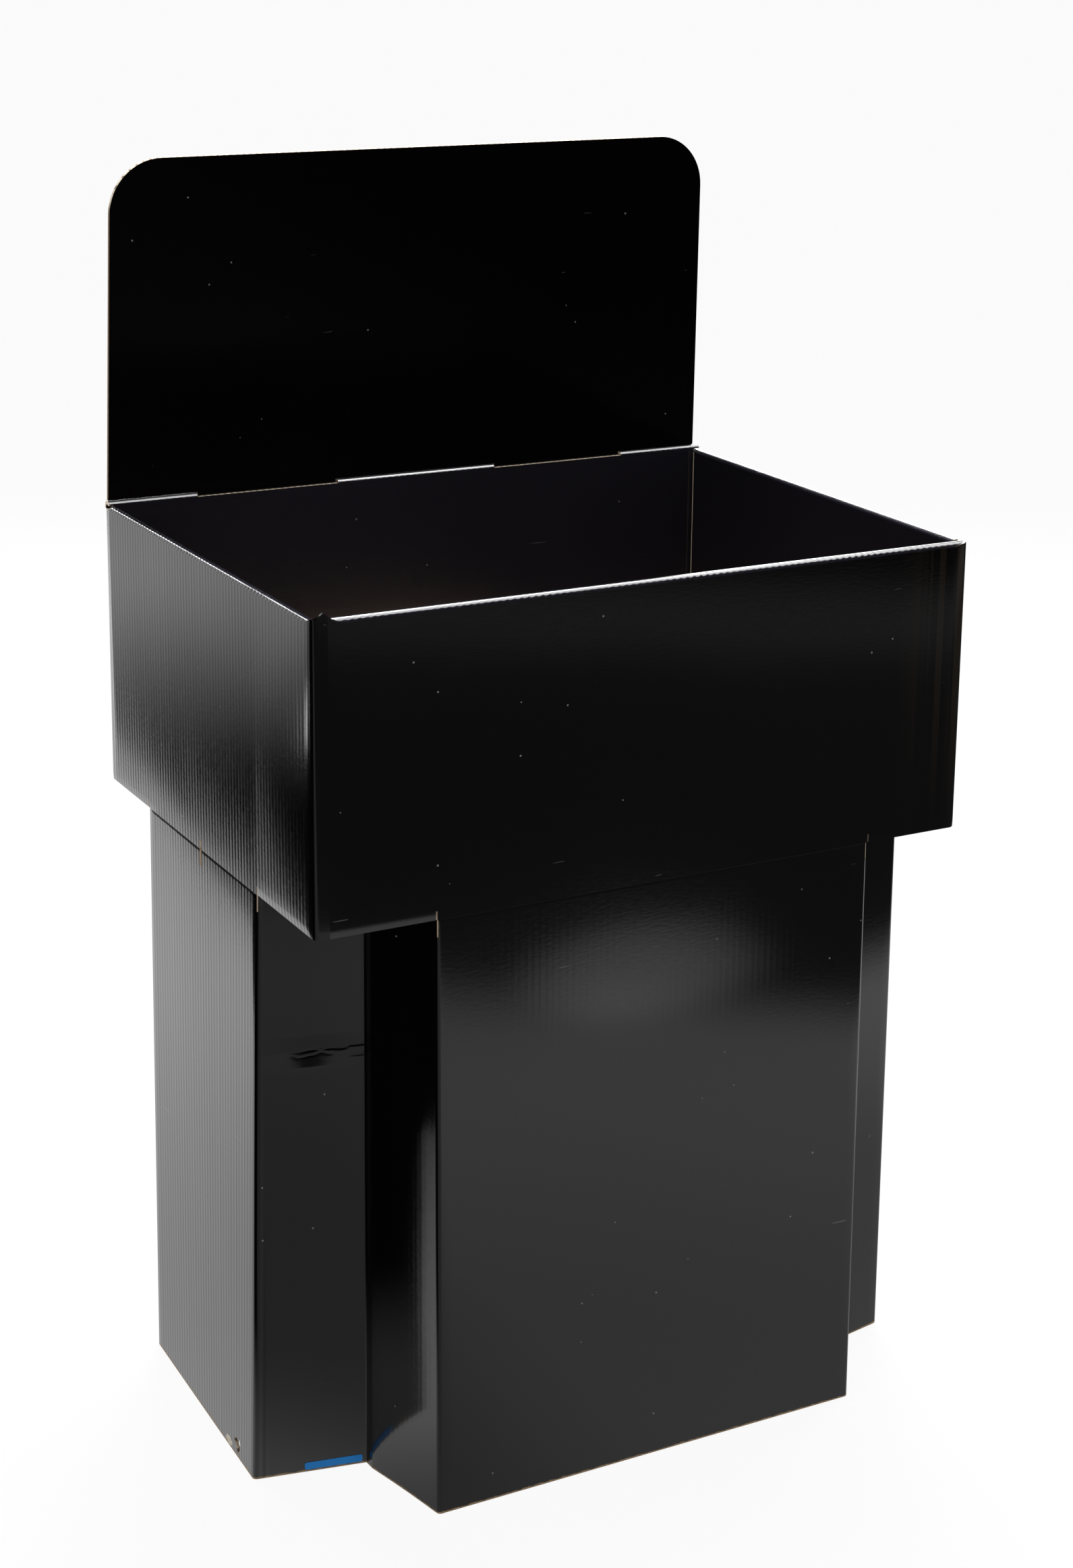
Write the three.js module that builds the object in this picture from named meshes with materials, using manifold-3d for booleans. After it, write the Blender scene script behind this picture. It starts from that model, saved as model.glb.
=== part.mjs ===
// A floor-standing bulk bin for a shop, folded from one sheet of glossy black corrugated board.
// The sheet is a tall rectangular tube. Its top part is the bin, with rims folded over to the
// inside. Below the bin each corner is slit and popped inwards, which leaves a plus-shaped base.
// A floor panel rests on the popped corners, a web stiffens the base, and a header panel is
// slotted into the rear rim.
//
// Millimetres, +Z up, the front towards -Y. Plan sizes are measured from the bin's front left
// corner, and the finished group is moved so that the origin is under the middle of the bin.

import * as THREE from 'three';
import { mergeVertices } from 'three/addons/utils/BufferGeometryUtils.js';
import Module from 'manifold-3d';

const wasm = await Module();
wasm.setup();

// Outside sizes of the folded tube
const binWidth = 610;
const binDepth = 460;
const baseHeight = 531;
const binHeight = 258;

// The board and how tightly it folds
const board = 3.2;
const bend = 0.9;
const arcSteps = 3;

// Clearances: a die-cut line, a piece that rests on another, and a panel inside the walls
const cutWidth = 1.2;
const restGap = 0.3;
const fitGap = 1.0;

// How far a cutting block runs past the face that it opens
const overcut = 1;

// How far the walls stand out of a true box: the right wall at the rear, the side walls' front
// feet, and the front and rear walls' feet
const rearFlare = 7;
const footSplay = 10;
const frontSplay = 1.4;

// Glued corner at the front right, where the right wall's raw edge laps over the front's fold
const lapStep = 1.6;
const lapInset = 1.2;

// Front left corner, which has a second crease on the front wall
const stripWidth = 13;
const stripDepth = 2.5;
const pinchRise = 5.5;
const pinchShare = 0.6;
const pinchDip = 1;

// The popped corners: the folds' distances along the front or rear wall (foldX) and along the
// side walls (foldY), at the top and on the floor, and the popped crease's place
const popped = {
  frontLeft: { foldX: [106, 108], foldY: [117, 118.5], creaseX: 87.5, creaseY: 99 },
  frontRight: { foldX: [91.5, 89], foldY: [85, 97], creaseX: 76, creaseY: 80 },
  rearRight: { foldX: [98, 98], foldY: [96, 96], creaseX: 83, creaseY: 82 },
  rearLeft: { foldX: [98, 98], foldY: [95.5, 86], creaseX: 83, creaseY: 80 },
};
const doubleCrease = 11;
const doubleCreaseSlide = 0.6;
const slitBelow = 15;
const slitAbove = 7.5;

// A buckle across the front left corner's recessed panel
const buckleHeight = 389;
const buckleReach = 14;
const buckleDepth = 1.5;
const buckleSlide = 0.2;

// The rims: the flat between their two folds, and the play of the header's tabs in the rear one
const rimFlat = 0.8;
const tabPlay = 0.5;
const rearRimRise = 3;
const rimStart = 8;
const cornerGap = 2.5;

// Header panel and the two slots in the rear rim. The panel has warped, so that its top leans
// further to the front at the left than at the right.
const headerWidth = 611.5;
const headerHeight = 305.4;
const headerInset = 1;
const headerRadius = 48;
const leftLean = 27;
const rightLean = 3.5;
const warpStrips = 10;
const cornerSteps = 8;
const slotInset = 84;
const slotLength = 140;
const tabClearance = 1.5;
const tabDepth = 62;

// Centre support: a web across the base with a tab through a slot in each side wall
const webPlace = 240.5;
const webSlotWidth = 4.2;

// A torn hole at the left foot, and a blank label at the foot of the recessed panel
const tearPlace = 158;
const tearHeight = 12;
const tearWidth = 13;
const labelLength = 51;
const labelHeight = 6.6;
const labelRise = 2;
const labelInset = 3.5;
const labelThickness = 0.25;
const labelGap = 0.1;
const labelCornerSteps = 3;

const rimLevel = baseHeight + binHeight;
const rimWidth = 2 * (board + bend) + rimFlat;
const rearRimWidth = Math.max(3 * board + 2 * tabPlay, rimWidth);
const floorLevel = baseHeight + restGap;
const innerWallFoot = floorLevel + board + restGap;
const rightWall = binWidth + lapStep;

// A sheet that follows a line of corners. Its outer face runs along the line and its thickness
// is to the left. Each fold is an arc whose centre both faces share, and a soft corner, where
// the board only sways, has no arc.
function foldSheet(corners, closed) {
  const outer = [];
  const inner = [];
  const count = corners.length;
  corners.forEach((corner, i) => {
    const before = closed || i > 0 ? corners[(i + count - 1) % count] : null;
    const after = closed || i < count - 1 ? corners[(i + 1) % count] : null;
    const dirIn = before ? corner.clone().sub(before).normalize() : null;
    const dirOut = after ? after.clone().sub(corner).normalize() : dirIn;
    const start = dirIn ?? dirOut;
    const normalIn = new THREE.Vector2(-start.y, start.x);
    const normalOut = new THREE.Vector2(-dirOut.y, dirOut.x);
    const turn = Math.atan2(start.cross(dirOut), start.dot(dirOut));
    const mitre = normalIn.clone().add(normalOut).divideScalar(1 + normalIn.dot(normalOut));
    if (corner.soft || !before || !after) {
      outer.push(corner.clone());
      inner.push(corner.clone().addScaledVector(mitre, board));
      return;
    }
    const outerRadius = turn > 0 ? bend + board : -bend;
    const innerRadius = turn > 0 ? bend : -bend - board;
    const centre = corner.clone().addScaledVector(mitre, outerRadius);
    for (let step = 0; step <= arcSteps; step += 1) {
      const ray = normalIn.clone().rotateAround(new THREE.Vector2(), (turn * step) / arcSteps);
      outer.push(centre.clone().addScaledVector(ray, -outerRadius));
      inner.push(centre.clone().addScaledVector(ray, -innerRadius));
    }
  });
  return { outer, inner };
}

// A closed tube of board whose corners are given at each level by cornersAt(z)
function sheetTube(levels, cornersAt) {
  const positions = [];
  const index = [];
  let around = 0;
  for (const z of levels) {
    const { outer, inner } = foldSheet(cornersAt(z), true);
    around = outer.length;
    for (const point of [...outer, ...inner]) positions.push(point.x, point.y, z);
  }
  const quad = (a, b, c, d) => index.push(a, b, c, a, c, d);
  for (let j = 0; j < around; j += 1) {
    const next = (j + 1) % around;
    for (let level = 0; level < levels.length - 1; level += 1) {
      const low = level * 2 * around;
      const high = low + 2 * around;
      quad(low + j, low + next, high + next, high + j);
      quad(low + around + next, low + around + j, high + around + j, high + around + next);
    }
    const top = (levels.length - 1) * 2 * around;
    quad(j, around + j, around + next, next);
    quad(top + j, top + next, top + around + next, top + around + j);
  }
  const geometry = new THREE.BufferGeometry();
  geometry.setAttribute('position', new THREE.Float32BufferAttribute(positions, 3));
  geometry.setIndex(index);
  return toSolid(geometry);
}

function toSolid(geometry) {
  const bare = geometry.clone();
  bare.deleteAttribute('normal');
  bare.deleteAttribute('uv');
  const merged = mergeVertices(bare, 1e-4);
  return new wasm.Manifold(
    new wasm.Mesh({
      numProp: 3,
      vertProperties: new Float32Array(merged.attributes.position.array),
      triVerts: new Uint32Array(merged.index.array),
    }),
  );
}

function toMesh(name, solid, material) {
  const { vertProperties, triVerts } = solid.getMesh();
  const geometry = new THREE.BufferGeometry();
  geometry.setAttribute('position', new THREE.BufferAttribute(vertProperties, 3));
  geometry.setIndex(new THREE.BufferAttribute(triVerts, 1));
  geometry.computeVertexNormals();
  const mesh = new THREE.Mesh(geometry, material);
  mesh.name = name;
  return mesh;
}

// A box between two corners, used to cut slits and gaps
function block(low, high) {
  const size = high.map((value, i) => value - low[i]);
  const middle = high.map((value, i) => (value + low[i]) / 2);
  const geometry = new THREE.BoxGeometry(...size);
  geometry.translate(...middle);
  return toSolid(geometry);
}

// An outline drawn in a plane and pushed along a direction
function prism(outline, length, across, up, along, origin) {
  const geometry = new THREE.ExtrudeGeometry(new THREE.Shape(outline), {
    depth: length,
    bevelEnabled: false,
  });
  const frame = new THREE.Matrix4().makeBasis(across, up, along);
  geometry.applyMatrix4(frame.setPosition(origin));
  return toSolid(geometry);
}

const xAxis = new THREE.Vector3(1, 0, 0);
const yAxis = new THREE.Vector3(0, 1, 0);
const zAxis = new THREE.Vector3(0, 0, 1);

// Where the right wall's outer face is at a distance back from the front
const rightFace = (y) => rightWall + (rearFlare * y) / binDepth;

// Plan of the bin's tube
function binCorners() {
  return [
    new THREE.Vector2(0, stripDepth),
    new THREE.Vector2(stripWidth, 0),
    new THREE.Vector2(rightWall, 0),
    new THREE.Vector2(rightFace(binDepth), binDepth),
    new THREE.Vector2(0, binDepth),
  ];
}

// Plan of the base at a height: arms level with the bin's walls at the top and standing a
// little proud on the floor, with the popped corners between them
function baseCorners(z) {
  const low = 1 - z / baseHeight;
  const at = ([top, foot]) => top + (foot - top) * low;
  const foot = footSplay * low;
  const face = frontSplay * low;
  const { frontLeft, frontRight, rearRight, rearLeft } = popped;
  const rightFold = at(frontRight.foldY);
  const rearFold = binDepth - at(rearRight.foldY);
  const crease = new THREE.Vector2(frontLeft.creaseX, frontLeft.creaseY);
  const leftFold = new THREE.Vector2(-foot, at(frontLeft.foldY));
  const buckle = Math.max(0, 1 - Math.abs(z - buckleHeight) / buckleReach) * buckleDepth;
  const sway = crease.clone().lerp(leftFold, 0.5);
  sway.add(new THREE.Vector2(buckleSlide * buckle, buckle));
  sway.soft = true;
  return [
    new THREE.Vector2(at(frontLeft.foldX), -face),
    new THREE.Vector2(rightWall - at(frontRight.foldX), -face),
    new THREE.Vector2(rightWall - frontRight.creaseX, frontRight.creaseY),
    new THREE.Vector2(rightFace(rightFold) + foot, rightFold),
    new THREE.Vector2(rightFace(rearFold), rearFold),
    new THREE.Vector2(rightWall - rearRight.creaseX, binDepth - rearRight.creaseY),
    new THREE.Vector2(rightWall - at(rearRight.foldX), binDepth + face),
    new THREE.Vector2(at(rearLeft.foldX), binDepth + face),
    new THREE.Vector2(rearLeft.creaseX, binDepth - rearLeft.creaseY),
    new THREE.Vector2(0, binDepth - at(rearLeft.foldY)),
    leftFold,
    sway,
    crease,
    crease.clone().add(new THREE.Vector2(doubleCreaseSlide, -doubleCrease)),
  ];
}

// One wall's rim: the board turns in over the wall's top and hangs down inside it
function rimFold(start, end, height, width) {
  const along = new THREE.Vector3(end.x - start.x, end.y - start.y, 0);
  const length = along.length();
  along.normalize();
  const inward = new THREE.Vector3(-along.y, along.x, 0);
  const { outer, inner } = foldSheet(
    [
      new THREE.Vector2(0, rimLevel - rimStart),
      new THREE.Vector2(0, height),
      new THREE.Vector2(width, height),
      new THREE.Vector2(width, innerWallFoot),
    ].map((corner) => new THREE.Vector2(-corner.x, corner.y)),
    false,
  );
  const section = [...outer, ...inner.reverse()].map((p) => new THREE.Vector2(-p.x, p.y));
  const origin = new THREE.Vector3(start.x, start.y, 0);
  return prism(section, length, inward, zAxis, along, origin);
}

function frontRim() {
  const rim = rimFold(
    new THREE.Vector2(0, 0),
    new THREE.Vector2(rightWall, 0),
    rimLevel,
    rimWidth,
  );
  const inside = board + fitGap;
  const under = rimLevel - board - bend;
  const left = block([-overcut, board, innerWallFoot - overcut], [inside, rimWidth + overcut, under]);
  const right = block(
    [rightWall - inside, board, innerWallFoot - overcut],
    [rightWall + overcut, rimWidth + overcut, under],
  );
  return rim.subtract(left).subtract(right);
}

function rearRim() {
  const height = rimLevel + rearRimRise;
  const face = rightFace(binDepth);
  const rim = rimFold(
    new THREE.Vector2(face, binDepth),
    new THREE.Vector2(0, binDepth),
    height,
    rearRimWidth,
  );
  const inside = board + fitGap;
  const under = height - board - bend;
  const front = binDepth - rearRimWidth - overcut;
  const back = binDepth - board;
  const left = block([-overcut, front, innerWallFoot - overcut], [inside, back, under]);
  const right = block(
    [face - inside - overcut, front, innerWallFoot - overcut],
    [face + overcut, back, under],
  );
  const slots = headerSlots().map(([from, to]) =>
    block(
      [from, binDepth - rearRimWidth + board, under - overcut],
      [to, binDepth - board, height + overcut],
    ),
  );
  return [left, right, ...slots].reduce((solid, cut) => solid.subtract(cut), rim);
}

// The two side rims run between the front and the rear rim. Their inner walls stop short of the
// rear inner wall, which leaves the raw back of the board showing in the corner.
function sideRims() {
  const near = rimWidth + cutWidth;
  const far = binDepth - rearRimWidth - cutWidth;
  const onRightWall = (y) => new THREE.Vector2(rightFace(y), y);
  const left = rimFold(
    new THREE.Vector2(0, far),
    new THREE.Vector2(0, near),
    rimLevel,
    rimWidth,
  );
  const right = rimFold(onRightWall(near), onRightWall(far), rimLevel, rimWidth);
  const under = rimLevel - board - bend;
  const rearGap = (from, to) =>
    block([from, far - cornerGap, innerWallFoot - overcut], [to, far + overcut, under]);
  return [
    left.subtract(rearGap(board, rimWidth + overcut)),
    right.subtract(
      rearGap(rightFace(far) - rimWidth - overcut, rightFace(far - cornerGap) - board),
    ),
  ];
}

// The header's two slots, as spans along the rear wall
function headerSlots() {
  const first = headerInset + slotInset;
  const last = headerInset + headerWidth - slotInset;
  return [
    [first, first + slotLength],
    [last - slotLength, last],
  ];
}

// The double crease at the front left corner stands up in a pinched point above the rims
function pinchedPoint() {
  const strip = new THREE.Vector3(stripWidth, -stripDepth, 0);
  const width = strip.length();
  strip.normalize();
  const outline = [
    new THREE.Vector2(bend, rimLevel - rimStart),
    new THREE.Vector2(width - bend, rimLevel - rimStart),
    new THREE.Vector2(width - bend, rimLevel),
    new THREE.Vector2(width * pinchShare, rimLevel + pinchRise),
    new THREE.Vector2(bend, rimLevel - pinchDip),
  ];
  const outward = new THREE.Vector3().crossVectors(strip, zAxis);
  const origin = new THREE.Vector3(0, stripDepth, 0).addScaledVector(outward, -board);
  return prism(outline, board, strip, zAxis, outward, origin);
}

// The die-cut slits: each runs up into the bin's wall where an arm's fold meets the bin, and
// frees the popped corner's top from the arm
function cornerSlits() {
  const { frontLeft, frontRight, rearRight, rearLeft } = popped;
  const low = baseHeight - slitBelow;
  const high = baseHeight + slitAbove;
  const reach = board + bend;
  const side = (footSplay * slitBelow) / baseHeight;
  const slits = [];
  const cutFrontOrRear = (x, towards, y, inward) => {
    const wall = [y - inward, y + inward * (reach + overcut)].sort((a, b) => a - b);
    const line = [x, x + towards * cutWidth].sort((a, b) => a - b);
    const mouth = [x, x + towards * (reach + cutWidth)].sort((a, b) => a - b);
    slits.push(block([line[0], wall[0], low], [line[1], wall[1], high]));
    slits.push(block([mouth[0], wall[0], low], [mouth[1], wall[1], baseHeight - restGap]));
  };
  const cutSide = (y, towards, x, inward) => {
    const wall = [x - inward * (side + overcut), x + inward * (reach + overcut)].sort((a, b) => a - b);
    const line = [y, y + towards * cutWidth].sort((a, b) => a - b);
    const mouth = [y, y + towards * (reach + cutWidth)].sort((a, b) => a - b);
    slits.push(block([wall[0], line[0], low], [wall[1], line[1], high]));
    slits.push(block([wall[0], mouth[0], low], [wall[1], mouth[1], baseHeight - restGap]));
  };
  cutFrontOrRear(frontLeft.foldX[0], -1, 0, 1);
  cutFrontOrRear(rightWall - frontRight.foldX[0], 1, 0, 1);
  cutFrontOrRear(rightWall - rearRight.foldX[0], 1, binDepth, -1);
  cutFrontOrRear(rearLeft.foldX[0], -1, binDepth, -1);
  cutSide(frontLeft.foldY[0], -1, 0, 1);
  cutSide(binDepth - rearLeft.foldY[0], 1, 0, 1);
  cutSide(frontRight.foldY[0], -1, rightFace(frontRight.foldY[0]), -1);
  cutSide(binDepth - rearRight.foldY[0], 1, rightFace(binDepth - rearRight.foldY[0]), -1);
  return slits;
}

// A slot in each side wall takes the web's tabs
function webSlots() {
  const low = baseHeight - slitBelow;
  const high = baseHeight + slitAbove;
  const front = webPlace - webSlotWidth / 2;
  const back = webPlace + webSlotWidth / 2;
  const face = rightFace(webPlace);
  return [
    block([-board, front, low], [board + overcut, back, high]),
    block([face - board - overcut, front, low], [face + board, back, high]),
  ];
}

// A ragged hole torn through the left foot just above the floor
function tear() {
  const outline = [
    [-0.5, -0.1],
    [-0.2, -0.5],
    [0.25, -0.42],
    [0.5, -0.05],
    [0.3, 0.38],
    [0.02, 0.5],
    [-0.36, 0.3],
  ].map(([y, z]) => new THREE.Vector2(tearPlace + y * tearWidth, tearHeight + z * tearWidth));
  const start = new THREE.Vector3(-footSplay - board, 0, 0);
  return prism(outline, footSplay + 3 * board, yAxis, zAxis, xAxis, start);
}

function binBody() {
  const bin = sheetTube([baseHeight, rimLevel - rimStart], binCorners);
  const baseLevels = [
    0,
    buckleHeight - buckleReach,
    buckleHeight,
    buckleHeight + buckleReach,
    baseHeight,
  ];
  const base = sheetTube(baseLevels, baseCorners);
  const plan = prism(
    foldSheet(binCorners(), true).outer,
    binHeight + 2 * rearRimRise,
    xAxis,
    yAxis,
    zAxis,
    new THREE.Vector3(0, 0, baseHeight),
  );
  const rims = [frontRim(), rearRim(), ...sideRims()].map((rim) => rim.intersect(plan));
  const lap = block(
    [binWidth, -board, baseHeight - overcut],
    [rightWall + board, lapInset, rimLevel + overcut],
  );
  const cuts = [...cornerSlits(), ...webSlots(), tear(), lap];
  const sheet = [base, ...rims, pinchedPoint()].reduce((solid, piece) => solid.add(piece), bin);
  return cuts.reduce((solid, cut) => solid.subtract(cut), sheet);
}

// The bin's floor: a panel with nipped corners that rests on the popped corners' top edges
function binFloor() {
  const near = board + fitGap;
  const right = rightWall - near;
  const rear = binDepth - near;
  const nip = near + 2 * stripDepth;
  const outline = [
    [nip, near],
    [right - nip + near, near],
    [right, nip],
    [right, rear - nip + near],
    [right - nip + near, rear],
    [nip, rear],
    [near, rear - nip + near],
    [near, nip],
  ].map(([x, y]) => new THREE.Vector2(x, y));
  return prism(outline, board, xAxis, yAxis, zAxis, new THREE.Vector3(0, 0, floorLevel));
}

// The web stands on the floor inside the base, from one side wall to the other
function centreSupport() {
  const edge = board + fitGap;
  const slotFoot = baseHeight - slitBelow;
  const tabLow = slotFoot + restGap;
  const top = baseHeight;
  const face = rightFace(webPlace);
  const outline = [
    [edge, 0],
    [face - edge, 0],
    [face - edge, tabLow],
    [face, tabLow],
    [face, top],
    [0, top],
    [0, tabLow],
    [edge, tabLow],
  ].map(([x, z]) => new THREE.Vector2(x, z));
  const origin = new THREE.Vector3(0, webPlace + board / 2, 0);
  return prism(outline, board, xAxis, zAxis, yAxis.clone().negate(), origin);
}

// The header's top edge from left to right: a round corner, a straight run and a round corner
function headerTop() {
  const left = headerInset;
  const right = left + headerWidth;
  const straight = headerWidth - 2 * headerRadius;
  const edge = [];
  for (let step = 0; step <= cornerSteps; step += 1) {
    const angle = ((Math.PI / 2) * step) / cornerSteps;
    const along = headerRadius * (1 - Math.cos(angle));
    const height = headerHeight - headerRadius * (1 - Math.sin(angle));
    edge.push([left + along, height]);
  }
  for (let strip = 1; strip < warpStrips; strip += 1) {
    edge.push([left + headerRadius + (straight * strip) / warpStrips, headerHeight]);
  }
  const corner = edge.slice(0, cornerSteps + 1).reverse();
  return [...edge, ...corner.map(([x, height]) => [left + right - x, height])];
}

// The header is one panel with rounded top corners. Two tabs drop into the rear rim's slots and
// its shoulders rest on the rim. Above them the panel leans to the front by an amount that grows
// with height and changes evenly from its left to its right side.
function headerPanel() {
  const shoulder = rimLevel + rearRimRise + restGap;
  const front = binDepth - (rearRimWidth + board) / 2;
  const positions = [];
  const index = [];
  const quad = (a, b, c, d) => index.push(a, b, c, a, c, d);
  const edge = headerTop();
  edge.forEach(([x, height], i) => {
    const lean = leftLean + ((rightLean - leftLean) * (x - headerInset)) / headerWidth;
    const top = front - (lean * height) / headerHeight;
    positions.push(x, front, shoulder, x, front + board, shoulder);
    positions.push(x, top, shoulder + height, x, top + board, shoulder + height);
    if (i === edge.length - 1) return;
    const [low, lowBack, high, highBack] = [0, 1, 2, 3].map((corner) => 4 * i + corner);
    quad(low, low + 4, high + 4, high);
    quad(lowBack + 4, lowBack, highBack, highBack + 4);
    quad(low, lowBack, lowBack + 4, low + 4);
    quad(high, high + 4, highBack + 4, highBack);
  });
  const end = positions.length / 3 - 4;
  quad(0, 2, 3, 1);
  quad(end, end + 1, end + 3, end + 2);
  const geometry = new THREE.BufferGeometry();
  geometry.setAttribute('position', new THREE.Float32BufferAttribute(positions, 3));
  geometry.setIndex(index);
  const tabs = headerSlots().map(([from, to]) =>
    block(
      [from + tabClearance, front, shoulder - tabDepth],
      [to - tabClearance, front + board, shoulder + board],
    ),
  );
  return tabs.reduce((solid, tab) => solid.add(tab), toSolid(geometry));
}

// A blank paper label along the foot of the front left recessed panel
function plainLabel() {
  const { frontLeft } = popped;
  const low = 1 - labelRise / baseHeight;
  const crease = new THREE.Vector2(frontLeft.creaseX, frontLeft.creaseY);
  const foldY = frontLeft.foldY[0] + (frontLeft.foldY[1] - frontLeft.foldY[0]) * low;
  const towardsFold = new THREE.Vector2(-footSplay * low, foldY).sub(crease).normalize();
  const along = new THREE.Vector3(-towardsFold.x, -towardsFold.y, 0);
  const outward = new THREE.Vector3().crossVectors(along, zAxis);
  const start = crease.clone().addScaledVector(towardsFold, labelInset + labelLength);
  const outline = new THREE.Shape();
  const radius = labelHeight / 4;
  outline.absarc(radius, radius, radius, Math.PI, 1.5 * Math.PI);
  outline.absarc(labelLength - radius, radius, radius, 1.5 * Math.PI, 2 * Math.PI);
  outline.absarc(labelLength - radius, labelHeight - radius, radius, 0, Math.PI / 2);
  outline.absarc(radius, labelHeight - radius, radius, Math.PI / 2, Math.PI);
  const origin = new THREE.Vector3(start.x, start.y, labelRise);
  origin.addScaledVector(outward, labelGap);
  return prism(outline.getPoints(labelCornerSteps), labelThickness, along, zAxis, outward, origin);
}

const laminate = new THREE.MeshStandardMaterial({ color: 0x0b0a0c, roughness: 0.22, metalness: 0 });
const satin = new THREE.MeshStandardMaterial({ color: 0x17141a, roughness: 0.38, metalness: 0 });
const kraft = new THREE.MeshStandardMaterial({ color: 0x9b7a52, roughness: 0.85, metalness: 0 });
const paper = new THREE.MeshStandardMaterial({ color: 0x2f63a8, roughness: 0.5, metalness: 0 });

const pieces = [
  toMesh('bin_body', binBody(), laminate),
  toMesh('header_panel', headerPanel(), satin),
  toMesh('bin_floor', binFloor(), kraft),
  toMesh('centre_support', centreSupport(), kraft),
  toMesh('plain_label', plainLabel(), paper),
];

// The group stands with its origin on the floor under the middle of all pieces
const group = new THREE.Group();
group.add(...pieces);
const extent = new THREE.Box3().setFromObject(group);
const middle = extent.getCenter(new THREE.Vector3());
group.position.set(-middle.x, -middle.y, -extent.min.z);
group.updateMatrixWorld(true);

export default group;
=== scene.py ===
import bpy
import numpy as np
from mathutils import Matrix, Vector


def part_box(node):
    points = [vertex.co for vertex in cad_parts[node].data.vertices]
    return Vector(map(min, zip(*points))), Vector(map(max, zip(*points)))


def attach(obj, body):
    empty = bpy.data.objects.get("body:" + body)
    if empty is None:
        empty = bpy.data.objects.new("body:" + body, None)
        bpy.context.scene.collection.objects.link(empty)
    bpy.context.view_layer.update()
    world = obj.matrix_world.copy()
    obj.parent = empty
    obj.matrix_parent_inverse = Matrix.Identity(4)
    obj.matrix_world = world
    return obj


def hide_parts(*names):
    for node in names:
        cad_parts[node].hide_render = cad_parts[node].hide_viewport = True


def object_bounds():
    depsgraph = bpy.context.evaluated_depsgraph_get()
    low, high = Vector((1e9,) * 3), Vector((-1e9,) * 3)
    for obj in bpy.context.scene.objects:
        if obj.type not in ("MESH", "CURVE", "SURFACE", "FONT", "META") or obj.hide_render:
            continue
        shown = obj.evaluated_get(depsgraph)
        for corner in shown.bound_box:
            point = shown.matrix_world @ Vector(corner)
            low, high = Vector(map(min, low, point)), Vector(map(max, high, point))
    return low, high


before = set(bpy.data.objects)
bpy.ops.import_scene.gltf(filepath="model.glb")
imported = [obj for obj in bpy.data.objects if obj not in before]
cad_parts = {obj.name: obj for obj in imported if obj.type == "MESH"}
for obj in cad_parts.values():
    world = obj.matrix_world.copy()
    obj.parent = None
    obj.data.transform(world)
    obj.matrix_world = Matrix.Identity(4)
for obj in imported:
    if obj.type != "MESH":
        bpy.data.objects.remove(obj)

cad_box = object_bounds()

# The camera
# It stands in front and to the left of the bin and looks down on it a little. The picture is a
# crop of a larger one, so the lens's axis meets it above its middle.
picture_height = 2324
focal_pixels = 4121.73
axis_row = 849.91
sensor = 36.0
camera_place = (-1.12405, -2.09540, 1.33023)
camera_turn = np.radians(-28.429)
camera_drop = np.radians(13.887)
camera_roll = np.radians(0.629)

back = Vector((
    np.sin(camera_turn) * np.cos(camera_drop),
    -np.cos(camera_turn) * np.cos(camera_drop),
    np.sin(camera_drop),
))
level_right = (-back).cross(Vector((0, 0, 1))).normalized()
level_up = level_right.cross(-back)
right = level_right * np.cos(camera_roll) + level_up * np.sin(camera_roll)
up = level_up * np.cos(camera_roll) - level_right * np.sin(camera_roll)

lens = bpy.data.cameras.new("camera")
lens.sensor_width = sensor
lens.lens = focal_pixels / picture_height * sensor
lens.shift_y = (axis_row - picture_height / 2) / picture_height
lens.clip_end = 60
camera = bpy.data.objects.new("camera", lens)
bpy.context.scene.collection.objects.link(camera)
camera.matrix_world = Matrix((
    (right.x, up.x, back.x, camera_place[0]),
    (right.y, up.y, back.y, camera_place[1]),
    (right.z, up.z, back.z, camera_place[2]),
    (0, 0, 0, 1),
))
bpy.context.scene.camera = camera
bpy.context.scene.view_settings.view_transform = "Standard"


# The studio
# A white floor, a bright wall of light behind and to the left, a soft box overhead, and a room
# that is dark in front. The camera sees the floor and the world as white; the floor keeps the
# bin's shadow.
class Value:
    """A shader socket. Arithmetic on it adds Math nodes to the tree that it belongs to."""

    def __init__(self, finish, socket):
        self.finish = finish
        self.socket = socket

    def math(self, operation, first, second=0.0):
        return self.finish.node("ShaderNodeMath", {"operation": operation}, {0: first, 1: second})

    def __add__(self, other):
        return self.math("ADD", self, other)

    __radd__ = __add__

    def __sub__(self, other):
        return self.math("SUBTRACT", self, other)

    def __rsub__(self, other):
        return self.math("SUBTRACT", other, self)

    def __mul__(self, other):
        return self.math("MULTIPLY", self, other)

    __rmul__ = __mul__

    def __truediv__(self, other):
        return self.math("DIVIDE", self, other)

    def __gt__(self, other):
        return self.math("GREATER_THAN", self, other)

    def __lt__(self, other):
        return self.math("LESS_THAN", self, other)

    def __abs__(self):
        return self.math("ABSOLUTE", self)

    def sine(self):
        return self.math("SINE", self)

    def floor(self):
        return self.math("FLOOR", self)

    def highest(self, other):
        return self.math("MAXIMUM", self, other)


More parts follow.
